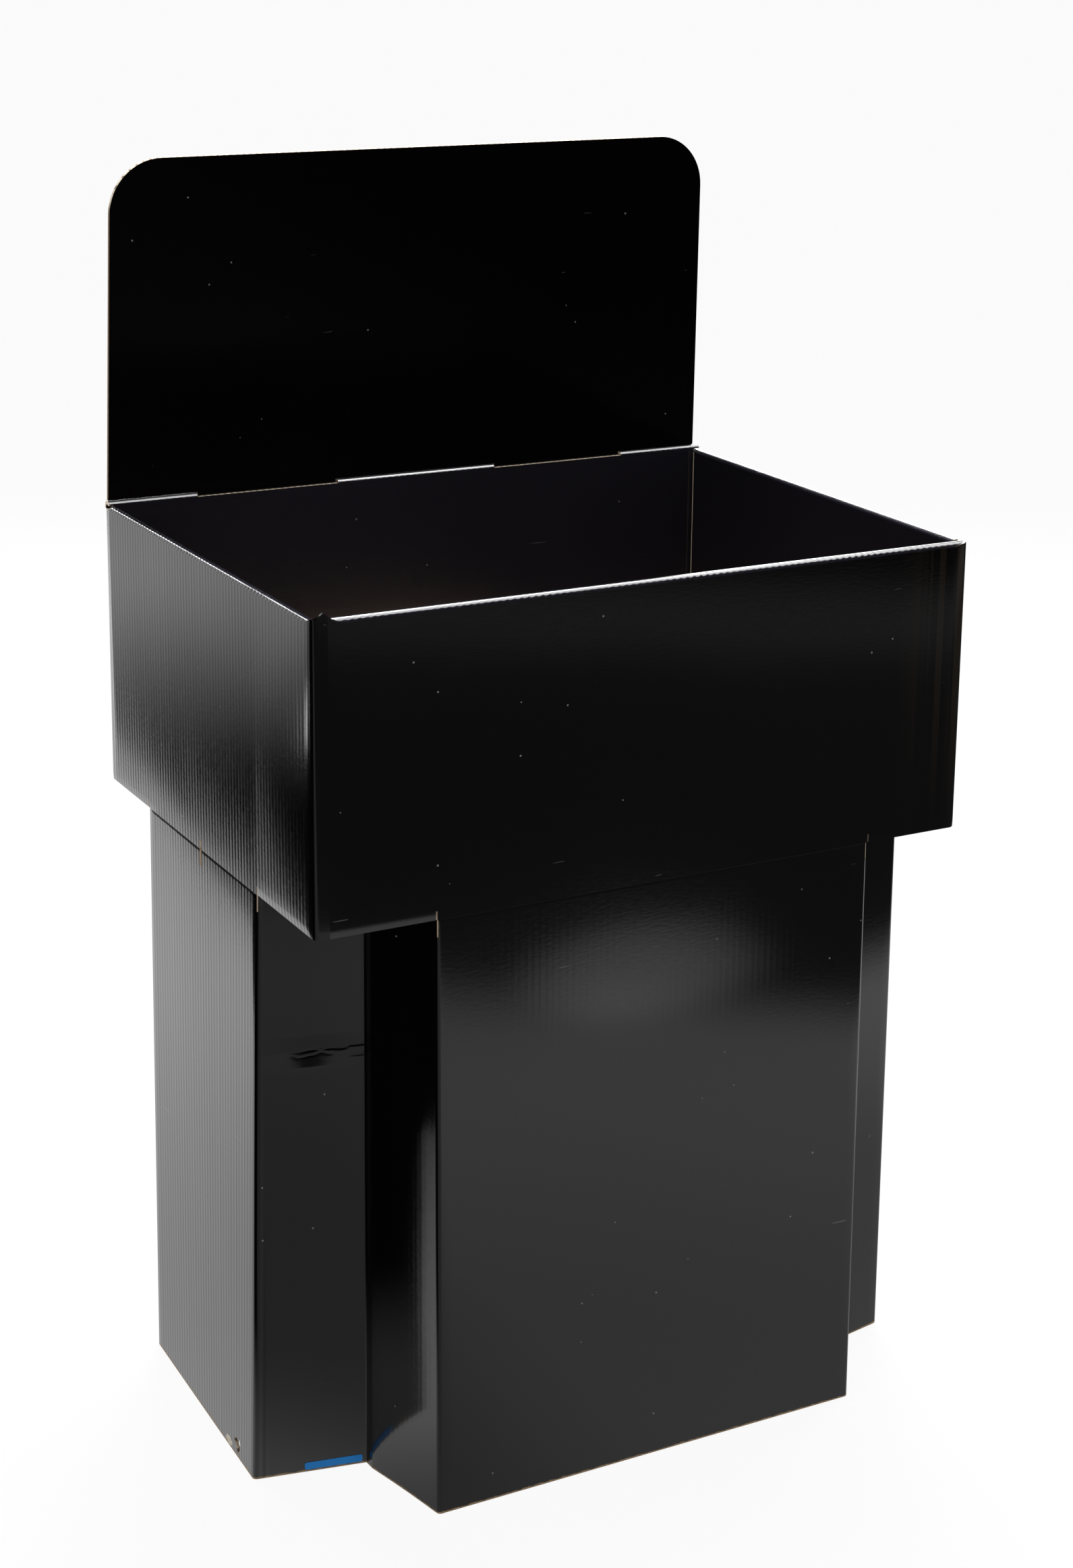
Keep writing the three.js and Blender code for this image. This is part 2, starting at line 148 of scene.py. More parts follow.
class Finish:
    """A node tree whose nodes all come from node()."""

    def __init__(self, tree):
        self.tree = tree
        tree.nodes.clear()

    def node(self, kind, settings=None, sockets=None, output=0):
        """Makes a node, sets it, fills or links its inputs and gives back one of its outputs."""
        made = self.tree.nodes.new(kind)
        for name, value in (settings or {}).items():
            setattr(made, name, value)
        for name, value in (sockets or {}).items():
            if isinstance(value, Value):
                self.tree.links.new(value.socket, made.inputs[name])
            else:
                made.inputs[name].default_value = value
        return Value(self, made.outputs[output]) if made.outputs else None

    def parts(self, vector):
        """The three numbers of a vector."""
        split = self.node("ShaderNodeSeparateXYZ", None, {0: vector})
        return [Value(self, socket) for socket in split.socket.node.outputs]

    def step(self, value, low, high):
        """0 below low, 1 above high and a smooth rise between them."""
        return self.node(
            "ShaderNodeMapRange",
            {"interpolation_type": "SMOOTHSTEP"},
            {"Value": value, "From Min": low, "From Max": high},
        )

    def band(self, value, rise, fall):
        """1 between two pairs of limits, with a smooth rise in the first and fall in the second."""
        return self.step(value, *rise) * (1.0 - self.step(value, *fall))

    def mix(self, amount, first, second):
        """A blend of two colours."""
        return self.node(
            "ShaderNodeMix", {"data_type": "RGBA"}, {0: amount, 6: first, 7: second}, output=2
        )

    def noise(self, vector, scale, detail=2.0):
        return self.node(
            "ShaderNodeTexNoise", None, {"Vector": vector, "Scale": scale, "Detail": detail}
        )

    def bump(self, height):
        """The normals of a height in metres."""
        return self.node(
            "ShaderNodeBump", None, {"Height": height, "Distance": 1.0, "Strength": 1.0}
        )

    def close(self, sockets):
        """Ends a material in a Principled surface."""
        surface = self.node("ShaderNodeBsdfPrincipled", None, sockets)
        self.node("ShaderNodeOutputMaterial", None, {"Surface": surface})


def grey(level):
    return (level, level, level, 1.0)


world = bpy.data.worlds.new("studio")
bpy.context.scene.world = world
world.use_nodes = True
room = Finish(world.node_tree)
room_direction = room.node("ShaderNodeTexCoord", output="Generated")
room_y, room_z = room.parts(room_direction)[1:]
room_camera = room.node("ShaderNodeLightPath", output="Is Camera Ray")
room_glossy = room.node("ShaderNodeLightPath", output="Is Glossy Ray")
room_plain = 0.55
back_wall_level = 0.9
back_wall_side = (0.2, 0.7)
back_wall_top = (0.30, 0.42)
overhead_level = 9.0
overhead_edge = (0.66, 0.74)
back_wall = room.step(room_y, *back_wall_side) * (1.0 - room.step(room_z, *back_wall_top))
overhead = room.step(room_z, *overhead_edge)
room_mirrored = back_wall * back_wall_level + overhead * overhead_level
room_lit = room_plain + room_glossy * (room_mirrored - room_plain)
room_strength = room_lit + room_camera * (1.0 - room_lit)
room_light = room.node(
    "ShaderNodeBackground", None, {"Color": grey(1.0), "Strength": room_strength}
)
room.node("ShaderNodeOutputWorld", None, {"Surface": room_light})

floor_half = 80.0
floor_mesh = bpy.data.meshes.new("studio_floor")
floor_mesh.from_pydata(
    [(x, y, 0.0) for x, y in ((-1, -1), (1, -1), (1, 1), (-1, 1))], [], [(0, 1, 2, 3)]
)
floor_mesh.transform(Matrix.Diagonal((floor_half, floor_half, 1, 1)))
studio_floor = bpy.data.objects.new("studio_floor", floor_mesh)
bpy.context.scene.collection.objects.link(studio_floor)

floor_paint = bpy.data.materials.new("studio_floor")
floor_paint.use_nodes = True
ground = Finish(floor_paint.node_tree)
ground_place = ground.node("ShaderNodeTexCoord", output="Object")
ground_x, ground_y = ground.parts(ground_place)[:2]
ground_camera = ground.node("ShaderNodeLightPath", output="Is Camera Ray")
ground_glossy = ground.node("ShaderNodeLightPath", output="Is Glossy Ray")

# The film mirrors lit and unlit zones of the floor. The left walls see those to the rear left, by
# their distance behind the bin and across it; the front walls see those in front and to the
# right. The directions follow the camera's sight over the floor, and limits are in metres.
sight_x, sight_y = 0.474, 0.881
rear_far = ground_y * sight_y - ground_x * sight_x
rear_across = ground_x * sight_y + ground_y * sight_x
front_far = ground_x * sight_x - ground_y * sight_y

lit_side = (-0.62, -0.38)
table_start = (-0.2, 0.1)
table_end = (1.85, 1.92)
table_turn = 2.49
table_level = 0.75
table_gain = 0.40
table_rise = (0.3, 1.3)
backdrop_level = 0.75
backdrop_rise = (1.85, 3.4)
streak_across = ((-0.50, -0.43), (-0.36, -0.30))
streak_along = ((2.08, 2.22), (2.3, 2.6))
streak_level = 2.4
table_edge = 1.0 - ground.step(rear_far - rear_across * table_turn, *table_end)
table = ground.step(rear_far, *table_start) * table_edge
table = table * (table_level + table_gain * ground.step(rear_far, *table_rise))
backdrop = backdrop_level * ground.step(rear_far, *backdrop_rise)
streak_shape = ground.band(rear_across, *streak_across) * ground.band(rear_far, *streak_along)
rear_zones = (table + backdrop) * ground.step(rear_across, *lit_side) + streak_shape * streak_level

front_start = (0.0, 0.2)
front_level = 0.42
front_gain = 0.16
front_rise = (0.4, 1.0)
front_end = (1.12, 1.37)
front_turn = 0.25
front_turn_start = 0.5
front_dim = (-0.25, 0.05)
front_dim_level = 0.5
front_right_gain = 0.45
front_right_rise = (0.58, 0.9)
glow_place = (0.58, -1.22)
glow_size = (0.20, 0.16)
glow_turn = 0.25
glow_fade = (0.0, 1.2)
glow_level = 0.75
far_level = 0.05
far_gain = 0.13
far_rise = (2.7, 3.05)
far_end = (3.2, 3.5)
front_reach = front_far + front_turn * (ground_x - front_turn_start).highest(0.0)
front_zone = (front_level + front_gain * ground.step(front_far, *front_rise)) * (
    1.0 - ground.step(front_reach, *front_end)
)
front_left_dim = front_dim_level + (1.0 - front_dim_level) * ground.step(ground_x, *front_dim)
front_zone = front_zone * front_left_dim
front_zone = front_zone * (1.0 + front_right_gain * ground.step(ground_x, *front_right_rise))
glow_x = (ground_x - glow_place[0]) / glow_size[0]
glow_y = (ground_y - glow_place[1] + (ground_x - glow_place[0]) * glow_turn) / glow_size[1]
glow = 1.0 - ground.step(glow_x * glow_x + glow_y * glow_y, *glow_fade)
far_zone = (far_level + far_gain * ground.step(front_far, *far_rise)) * (
    1.0 - ground.step(front_far, *far_end)
)
front_zones = (front_zone + far_zone + glow * glow_level) * ground.step(front_far, *front_start)

floor_colour = grey(0.86)
shown_white = 0.92
ground_diffuse = ground.node("ShaderNodeBsdfDiffuse", None, {"Color": floor_colour})
ground_white = ground.node("ShaderNodeEmission", None, {"Color": grey(1.0), "Strength": 1.0})
ground_mirrored = ground.node(
    "ShaderNodeEmission", None, {"Color": grey(1.0), "Strength": rear_zones + front_zones}
)
ground_shown = ground.node(
    "ShaderNodeMixShader",
    None,
    {0: ground_camera * shown_white, 1: ground_diffuse, 2: ground_white},
)
ground_all = ground.node(
    "ShaderNodeMixShader", None, {0: ground_glossy, 1: ground_shown, 2: ground_mirrored}
)
ground.node("ShaderNodeOutputMaterial", None, {"Surface": ground_all})
floor_mesh.materials.append(floor_paint)


def soft_lamp(name, place, aim, width, height, watts):
    """A rectangular lamp that faces a point."""
    light = bpy.data.lights.new(name, "AREA")
    light.shape = "RECTANGLE"
    light.size = width
    light.size_y = height
    light.energy = watts
    lamp = bpy.data.objects.new(name, light)
    bpy.context.scene.collection.objects.link(lamp)
    lamp.location = place
    lamp.rotation_euler = (Vector(aim) - Vector(place)).to_track_quat("-Z", "Y").to_euler()


soft_lamp("overhead_lamp", (0.5, 0.55, 2.6), (0, 0, 0.8), 1.6, 0.7, 75)
soft_lamp("rear_lamp", (1.4, 2.6, 1.9), (0, 0, 0.8), 1.8, 0.9, 80)
soft_lamp("left_lamp", (-1.05, 2.6, 2.15), (-0.3, 0, 0.79), 0.6, 0.5, 24)


# The folded sheet's walls
# The bin and its base are one sheet of corrugated board, 3.2 mm thick, with a glossy black film
# on the outside. Its vertical folds are pressed round, and the flutes run upright at 6.35 mm.
board = 0.0032
bend = 0.0009
flute = 0.00635
fold_steps = 5
bin_width = 0.610
bin_depth = 0.460
base_height = 0.531
rim_level = 0.789
rear_flare = 0.007
foot_splay = 0.010
front_splay = 0.0014
lap_step = 0.0016
lap_inset = 0.0012
strip_width = 0.013
strip_depth = 0.0025
right_wall = bin_width + lap_step
slit_below = 0.015
slit_above = 0.0075
slit_width = 0.0012
score_depth = 0.00015
score_half = 0.0014
front_left = {"x": (0.106, 0.108), "y": (0.117, 0.1185), "crease": (0.0875, 0.099)}
front_right = {"x": (0.0915, 0.089), "y": (0.085, 0.097), "crease": (0.076, 0.080)}
rear_right = {"x": (0.098, 0.098), "y": (0.096, 0.096), "crease": (0.083, 0.082)}
rear_left = {"x": (0.098, 0.098), "y": (0.0955, 0.086), "crease": (0.083, 0.080)}
double_crease = (0.0006, -0.011)
buckle_height = 0.389
buckle_reach = 0.014
buckle_depth = 0.0015
buckle_rows = 57
crack_depth = 0.00045
crack_half = 0.0016
web_place = 0.2405
web_slot = 0.0042
web_low = web_place - web_slot / 2
web_high = web_place + web_slot / 2
rim_outer = bend + board
sharp_fold = np.radians(38)

body_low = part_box("bin_body")[0]
bin_corner = np.array((body_low.x + foot_splay, body_low.y + front_splay, 0.0))


def right_face(y):
    """The right wall's outer face at a distance back from the front."""
    return right_wall + rear_flare * y / bin_depth


def bent_sheet(corners, heights, coarse):
    """Columns of a folded sheet's printed face, as points[height, column] and, for each gap
    between two columns, the height range that is cut away. Each corner is (x, y, kind, spacing,
    cut): x and y may change with height. A fold becomes an arc tangent to its two walls whose
    radius is the inner one on the side the sheet folds towards; a soft corner stays a point. The
    run after a corner is split evenly at its spacing."""
    rows = len(heights)
    ring = np.stack(
        [np.stack([np.broadcast_to(c[0], rows), np.broadcast_to(c[1], rows)], -1) for c in corners],
        1,
    )
    count = len(corners)
    ahead = np.roll(ring, -1, 1) - ring
    ahead = ahead / np.linalg.norm(ahead, axis=-1, keepdims=True)
    behind = np.roll(ahead, 1, 1)
    normal_in = np.stack([-behind[..., 1], behind[..., 0]], -1)
    normal_out = np.stack([-ahead[..., 1], ahead[..., 0]], -1)
    cross = behind[..., 0] * ahead[..., 1] - behind[..., 1] * ahead[..., 0]
    turn = np.arctan2(cross, (behind * ahead).sum(-1))
    mitre = (normal_in + normal_out) / (1 + (normal_in * normal_out).sum(-1, keepdims=True))
    columns = []
    arcs = []
    for i in range(count):
        if corners[i][2] == "soft":
            columns.append(ring[:, i : i + 1])
        else:
            radius = np.where(turn[:, i] > 0, bend + board, -bend)[:, None]
            centre = ring[:, i] + mitre[:, i] * radius
            angle = turn[:, i, None] * np.linspace(0, 1, fold_steps + 1)
            nx, ny = normal_in[:, i, 0:1], normal_in[:, i, 1:2]
            ray = np.stack(
                [nx * np.cos(angle) - ny * np.sin(angle), nx * np.sin(angle) + ny * np.cos(angle)],
                -1,
            )
            columns.append(centre[:, None] - ray * radius[:, None])
        arcs.append(columns[-1].shape[1])
    points = []
    cuts = []
    uncut = (9.0, 9.0)
    for i in range(count):
        spacing, cut = corners[i][3] or coarse, corners[i][4]
        start = columns[i][:, -1]
        end = columns[(i + 1) % count][:, 0]
        longest = np.linalg.norm(end - start, axis=-1).max()
        pieces = max(1, int(np.ceil(longest / spacing)))
        share = np.arange(1, pieces) / pieces
        between = start[:, None] + (end - start)[:, None] * share[None, :, None]
        points += [columns[i], between]
        middle_cut = cut if cut and corners[i][2] == "fold" else uncut
        run_cut = cut if cut and corners[i][2] == "soft" else uncut
        steps = [uncut] * (arcs[i] - 1)
        if steps:
            steps[fold_steps // 2] = middle_cut
        cuts += steps + [run_cut] * pieces
    points = np.concatenate(points, 1)
    points = np.concatenate([points, points[:, :1]], 1)
    return points, np.array(cuts)


def patch(points, heights, cuts=None, drop=None, raw=None):
    """A grid of the sheet. Its map runs along the sheet and up it, in metres."""
    rows, columns = points.shape[:2]
    xyz = np.zeros((rows, columns, 3))
    xyz[..., :2] = points
    xyz[..., 2] = heights[:, None] if heights.ndim == 1 else heights
    middle = points[rows // 2]
    along = np.concatenate([[0], np.cumsum(np.linalg.norm(np.diff(middle, axis=0), axis=-1))])
    uv = np.stack([np.broadcast_to(along, (rows, columns)), xyz[..., 2]], -1)
    keep = np.ones((rows - 1, columns - 1), bool)
    if cuts is not None:
        level = (xyz[1:, :-1, 2] + xyz[:-1, :-1, 2]) / 2
        keep &= ~((level > cuts[:, 0]) & (level < cuts[:, 1]))
    if drop is not None:
        keep &= ~drop
    finish = np.zeros((rows - 1, columns - 1), int)
    if raw is not None:
        finish[raw] = 2
    return xyz, uv, keep, finish


def sheet_object(name, patches, materials):
    """Joins grids into one open surface, sets it in the row frame, gives it its thickness on the
    unprinted side and keeps it in the CAD's box. Faces on the back take the second material, cut
    edges the third."""
    vertices, uvs, faces, finishes = [], [], [], []
    offset = 0
    for xyz, uv, keep, finish in patches:
        rows, columns = keep.shape
        first = (np.arange(rows)[:, None] * (columns + 1) + np.arange(columns)).ravel()
        quads = np.stack([first, first + 1, first + columns + 2, first + columns + 1], -1)
        chosen = keep.ravel()
        faces.append(quads[chosen] + offset)
        finishes.append(finish.ravel()[chosen])
        vertices.append(xyz.reshape(-1, 3) + bin_corner)
        uvs.append(uv.reshape(-1, 2))
        offset += len(vertices[-1])
    vertices, uvs, faces = np.concatenate(vertices), np.concatenate(uvs), np.concatenate(faces)
    used, compact = np.unique(faces, return_inverse=True)
    faces = compact.reshape(-1, 4)
    mesh = bpy.data.meshes.new(name)
    mesh.from_pydata(vertices[used].tolist(), [], faces.tolist())
    layer = mesh.uv_layers.new(name="board")
    layer.data.foreach_set("uv", uvs[used][faces.ravel()].ravel().astype(np.float32))
    mesh.polygons.foreach_set("material_index", np.concatenate(finishes).astype(np.int32))
    for material in materials:
        mesh.materials.append(material)
    piece = bpy.data.objects.new(name, mesh)
    bpy.context.scene.collection.objects.link(piece)
    wall = piece.modifiers.new("board", "SOLIDIFY")
    wall.thickness = board
    wall.offset = -1
    wall.material_offset = 1
    wall.material_offset_rim = 2
    scene_state = bpy.context.evaluated_depsgraph_get()
    solid = bpy.data.meshes.new_from_object(piece.evaluated_get(scene_state))
    piece.modifiers.clear()
    piece.data = solid
    solid.name = name
    places = np.zeros(3 * len(solid.vertices), np.float32)
    solid.vertices.foreach_get("co", places)
    places = np.clip(places.reshape(-1, 3), cad_box[0], cad_box[1])
    solid.vertices.foreach_set("co", places.ravel().astype(np.float32))
    solid.update()
    solid.shade_smooth()
    solid.set_sharp_from_angle(angle=sharp_fold)
    return piece


left_walls = (-0.3050, -0.3030)
flute_spread = 0.45
front_ripple = 0.3
flute_shine = 0.95
sway_depth = 0.0012
streak_depth = 0.000012
peel_depth = 0.000022
peel_scale = (130.0, 130.0, 420.0)
streak_scale = (420.0, 3.0)
dust_scale = 95.0
dust_radius = 0.085
dust_rarity = 0.955
dust_colour = grey(0.30)
dust_strength = 0.5
hair_turn = (0.5, 0.8, 0.3)
hair_scale = (9.0, 9.0, 160.0)
scratch_rarity = 0.775
scratch_strength = 0.4
rub_height = 0.0034
rub_fade = (-0.0006, 0.0002)
paper_colour = (0.33, 0.22, 0.12, 1.0)
flake_place = (-0.0505, 0.0050)
flake_size = (0.0085, 0.0042)
flake_fade = (1.25, 1.5)
flake_colour = (0.62, 0.57, 0.47, 1.0)
# Painted reflection: brown streaks painted into the film's colour at the front wall's right end
# stand in for a warm reflection.
painted_reflection_right = (0.225, 0.300)
painted_reflection_front = (-0.2285, -0.2275)
painted_reflection_rise = (0.50, 0.70)
painted_reflection_flutes = (0.75, 1.1)
painted_reflection_colour = (0.016, 0.011, 0.006, 1.0)
painted_reflection_strength = 0.6


def finished(name):
    """A new material with its node tree emptied."""
    material = bpy.data.materials.new(name)
    material.use_nodes = True
    return material, Finish(material.node_tree)


def laminate(name, colour, sheen, haze, flute_height, index=1.52, coat=0.35):
    """Black film on corrugated board. Upright flutes show through as a faint washboard, most of
    all on the left walls. The film has an orange peel, streaks, dust and hairline scratches, and
    a painted warm reflection turns it a little brown at the front wall's right end. Its lower edge
    is rubbed to brown paper, and a pale flake hangs beside the torn hole."""
    material, film = finished(name)
    place = film.node("ShaderNodeTexCoord", output="Object")
    x, y, z = film.parts(place)
    u, v = film.parts(film.node("ShaderNodeUVMap", {"uv_map": "board"}))[:2]
    left = 1.0 - film.step(x, *left_walls)

    sway = film.noise(place, 5.0, 1.0)
    peel_map = film.node(
        "ShaderNodeCombineXYZ",
        None,
        {0: x * peel_scale[0], 1: y * peel_scale[1], 2: z * peel_scale[2]},
    )
    peel = film.noise(peel_map, 1.0)
    streak_map = film.node(
        "ShaderNodeCombineXYZ", None, {0: u * streak_scale[0], 1: v * streak_scale[1]}
    )
    streak = film.noise(streak_map, 1.0)
    uneven = film.node(
        "ShaderNodeTexWhiteNoise", {"noise_dimensions": "1D"}, {"W": (u / flute).floor()}
    )
    wave = (u * (2 * np.pi / flute)).sine() * (1.0 - flute_spread + flute_spread * uneven)
    ripple = wave * (front_ripple + (1.0 - front_ripple) * left) * flute_height
    height = ripple + sway * sway_depth + streak * streak_depth + peel * peel_depth

    cells = {"Vector": place, "Scale": dust_scale}
    dots = film.node("ShaderNodeTexVoronoi", {"feature": "F1"}, cells)
    chance = film.node("ShaderNodeTexVoronoi", {"feature": "F1"}, cells, output="Color")
    dust = (dots < dust_radius) * (film.parts(chance)[0] > dust_rarity)
    hair_map = film.node(
        "ShaderNodeMapping",
        None,
        {"Vector": place, "Rotation": hair_turn, "Scale": hair_scale},
    )
    scratch = (film.noise(hair_map, 2.2, 3.0) > scratch_rarity) * scratch_strength

    edge = film.noise(place, 130.0, 3.0)
    rubbed = 1.0 - film.step(z - edge * rub_height, *rub_fade)
    flake_y = (y - flake_place[0]) / flake_size[0]
    flake_z = (z - flake_place[1]) / flake_size[1]
    flake_edge = flake_y * flake_y + flake_z * flake_z + edge * 1.2
    flake = (1.0 - film.step(flake_edge, *flake_fade)) * (x < -0.29)
    bare = rubbed.highest(flake)

    swayed = film.mix(sway, colour, tuple(1.5 * c for c in colour[:3]) + (1.0,))
    # Painted reflection: a brown tint along the flutes at the front wall's right end, in place of a
    # reflected warm light.
    painted_reflection_end = film.step(x, *painted_reflection_right) * (1.0 - film.step(y, *painted_reflection_front))
    painted_reflection = painted_reflection_end * film.step(uneven + streak * 0.6, *painted_reflection_flutes) * film.step(z, *painted_reflection_rise)
    with_painted_reflection = film.mix(painted_reflection * painted_reflection_strength, swayed, painted_reflection_colour)
    dusty = film.mix(dust.highest(scratch) * dust_strength, with_painted_reflection, dust_colour)
    chipped = film.mix(rubbed, dusty, paper_colour)
    film.close({
        "Base Color": film.mix(flake, chipped, flake_colour),
        "Roughness": sheen + haze * peel + scratch * 0.15 + bare * 0.5,
        "IOR": index,
        "Coat Roughness": 0.06,
        "Coat Weight": coat * (1.0 + flute_shine * left * wave) * (1.0 - bare),
        "Normal": film.bump(height),
    })
    return material


def kraft_paper(name, colour, shade):
    """Plain brown liner: long fibres, darker flecks and faint flutes."""
    material, paper = finished(name)
    place = paper.node("ShaderNodeTexCoord", output="Object")
    x, y = paper.parts(place)[:2]
    stretched = paper.node(
        "ShaderNodeMapping", None, {"Vector": place, "Scale": (420.0, 420.0, 90.0)}
    )
    fibre = paper.noise(stretched, 1.0, 4.0)
    cloud = paper.noise(place, 26.0, 3.0)
    fleck = paper.node("ShaderNodeTexVoronoi", None, {"Vector": place, "Scale": 310.0})
    tone = paper.mix(fibre * 0.6 + cloud * 0.4, shade, colour)
    ridge = ((x + y) * (2 * np.pi / flute)).sine()
    paper.close({
        "Base Color": paper.mix(
            (fleck < 0.16) * 0.35, tone, tuple(0.4 * c for c in shade[:3]) + (1.0,)
        ),
        "Roughness": 0.72 + 0.2 * cloud,
        "Normal": paper.bump(fibre * 0.00012 + ridge * 0.00003),
    })
    return material


def cut_edge(name):
    """The board's cut edge: two pale liners with the brown wave of the flutes between them."""
    material, edge = finished(name)
    place = edge.node("ShaderNodeTexCoord", output="Object")
    u = edge.parts(edge.node("ShaderNodeUVMap", {"uv_map": "board"}))[0]
    grain = edge.noise(place, 600.0, 3.0)
    hollow = edge.step(abs((u * (np.pi / flute)).sine()) + grain * 0.5, 0.35, 0.95)
    edge.close({
        "Base Color": edge.mix(hollow, (0.17, 0.11, 0.065, 1.0), (0.68, 0.58, 0.46, 1.0)),
        "Roughness": 0.8 + 0.1 * grain,
        "Normal": edge.bump(hollow * 0.0003 + grain * 0.0002),
    })
    return material


black_film = laminate("black_film", (0.0011, 0.0010, 0.0012, 1.0), 0.065, 0.09, 0.000017)
brown_liner = kraft_paper("brown_liner", (0.31, 0.215, 0.13, 1.0), (0.21, 0.14, 0.08, 1.0))
# Painted light: the rims and inner walls are the same black film folded over, given a lighter,
# purplish base colour so that they look brighter.
painted_light_inner_film = laminate("painted_light_inner_film", (0.0088, 0.0082, 0.0122, 1.0), 0.12, 0.16, 0.000024)
raw_edge = cut_edge("raw_edge")
sheet_finishes = (black_film, brown_liner, raw_edge)


# The base
# Below the bin each corner of the tube is slit and popped inwards, so that the base is a plus
# with four arms. Its feet splay a little, the front left recess has buckled, and a hole is torn
# through the left foot.
tear_place = (0.158, 0.012)
tear_radius = 0.0068
torn_span = 0.010
torn_spacing = 0.0009
torn_rows = 0.026
recess_spacing = 0.003
wall_spacing = 0.009
recess_reach = 0.009
recess_near = 0.09
recess_far = 0.98
flank_reach = 0.004
flank_end = 0.88
flank_bow = 0.0007
face_reach = (0.29, 0.226)


def between(pair, low):
    """A size that changes evenly from the top of the base to the floor."""
    return pair[0] + (pair[1] - pair[0]) * low


def base_corners(z):
    """The base's corners at heights z. At the slits the arms' folds are cut open."""
    low = 1 - z / base_height
    foot = foot_splay * low
    face = front_splay * low
    slit = (base_height - slit_below, base_height + 1)
    right_fold = between(front_right["y"], low)
    rear_fold = bin_depth - between(rear_right["y"], low)
    left_fold = between(front_left["y"], low)
    rear_left_fold = bin_depth - between(rear_left["y"], low)
    front_x = right_wall - between(front_right["x"], low)
    rear_x = right_wall - between(rear_right["x"], low)
    crease_x, crease_y = front_left["crease"]
    ripple = np.maximum(0, 1 - abs(z - buckle_height) / buckle_reach)
    buckle = buckle_depth * ripple
    sway_x = (crease_x - foot) / 2 + 0.2 * buckle
    sway_y = (crease_y + left_fold) / 2 + buckle
    tear_low = tear_place[0] - torn_span
    tear_high = tear_place[0] + torn_span

    def left_face(y):
        return -foot * (rear_left_fold - y) / (rear_left_fold - left_fold)

    return [
        (between(front_left["x"], low), -face, "fold", None, slit),
        (front_x, -face, "fold", None, slit),
        (right_wall - front_right["crease"][0], front_right["crease"][1], "fold", None, None),
        (right_face(right_fold) + foot, right_fold, "fold", None, slit),
        (right_face(rear_fold), rear_fold, "fold", None, slit),
        (
            right_wall - rear_right["crease"][0],
            bin_depth - rear_right["crease"][1],
            "fold",
            None,
            None,
        ),
        (rear_x, bin_depth + face, "fold", None, slit),
        (between(rear_left["x"], low), bin_depth + face, "fold", None, slit),
        (rear_left["crease"][0], bin_depth - rear_left["crease"][1], "fold", None, None),
        (0 * z, rear_left_fold, "fold", None, slit),
        (left_face(web_high), web_high, "soft", None, slit),
        (left_face(web_low), web_low, "soft", None, None),
        (left_face(tear_high), tear_high, "soft", torn_spacing, None),
        (left_face(tear_low), tear_low, "soft", None, None),
        (-foot, left_fold, "fold", recess_spacing, slit),
        (sway_x, sway_y, "soft", recess_spacing, None),
        (crease_x, crease_y, "fold", 0.004, None),
        (crease_x + double_crease[0], crease_y + double_crease[1], "fold", None, None),
    ]


base_heights = np.unique(np.round(np.concatenate([
    np.arange(0, torn_rows, torn_spacing),
    np.arange(torn_rows, base_height - slit_below, wall_spacing),
    buckle_height + np.linspace(-buckle_reach, buckle_reach, buckle_rows),
    [base_height - slit_below],
    base_height - score_half * np.array((2, 1, 0)),
]), 5))
base_points, base_cuts = bent_sheet(base_corners(base_heights), base_heights, wall_spacing)
grid_z = np.broadcast_to(base_heights[:, None], base_points.shape[:2])


def panel_frame(points, start, end):
    """Where points lie against a panel that runs from start to end: their share of its length,
    their distance off it and its normal."""
    run = end - start
    length = np.linalg.norm(run)
    normal = np.array((run[1], -run[0])) / length
    offset = points - start
    return offset @ run / length**2, offset @ normal, normal


recess_start = np.array(front_left["crease"])
recess_end = np.array((0.0, front_left["y"][0]))
recess_share, recess_off, recess_normal = panel_frame(base_points, recess_start, recess_end)
on_recess = (abs(recess_off) < recess_reach) & (recess_share > 0) & (recess_share < recess_far)
on_recess &= base_points[..., 1] > recess_near


def crack(middle, start, end, depth):
    """A sharp valley across the recess whose line wanders by two sines and whose depth dies out
    at both ends."""
    slow = 0.0011 * np.sin(recess_share * 19.0)
    line = middle + slow + 0.0006 * np.sin(recess_share * 47.0 + 1.0)
    fade = np.clip((recess_share - start) / 0.1, 0, 1) * np.clip((end - recess_share) / 0.16, 0, 1)
    return depth * fade * np.maximum(0, 1 - abs(grid_z - line) / crack_half) * on_recess


crumple = (
    crack(buckle_height + 0.001, -0.12, 0.66, crack_depth)
    + crack(buckle_height - 0.008, -0.12, 0.20, 0.5 * crack_depth)
    + crack(buckle_height - 0.004, 0.30, 0.72, 0.5 * crack_depth)
)
base_points = base_points + recess_normal * crumple[..., None]

flank_start = np.array((front_left["x"][0], 0.0))
flank_share, flank_off, flank_normal = panel_frame(base_points, flank_start, recess_start)
on_flank = (abs(flank_off) < flank_reach) & (flank_share > 0) & (flank_share < flank_end)
flank_wave = np.sin(np.pi * np.clip(flank_share / flank_end, 0, 1))
base_points = base_points + flank_normal * (flank_bow * flank_wave * on_flank)[..., None]

torn_y = base_points[..., 1] - tear_place[0]
torn_z = grid_z - tear_place[1]
torn_reach = np.hypot(torn_y, torn_z)
torn_angle = np.arctan2(torn_z, torn_y)
torn_edge = tear_radius * (
    1
    + 0.16 * np.sin(3 * torn_angle + 0.6)
    + 0.09 * np.sin(7 * torn_angle)
    - 0.08 * np.cos(5 * torn_angle)
)
left_side = base_points[..., 0] < board
torn = left_side & (torn_reach < torn_edge)
torn_quads = torn[1:, 1:] & torn[:-1, 1:] & torn[1:, :-1] & torn[:-1, :-1]

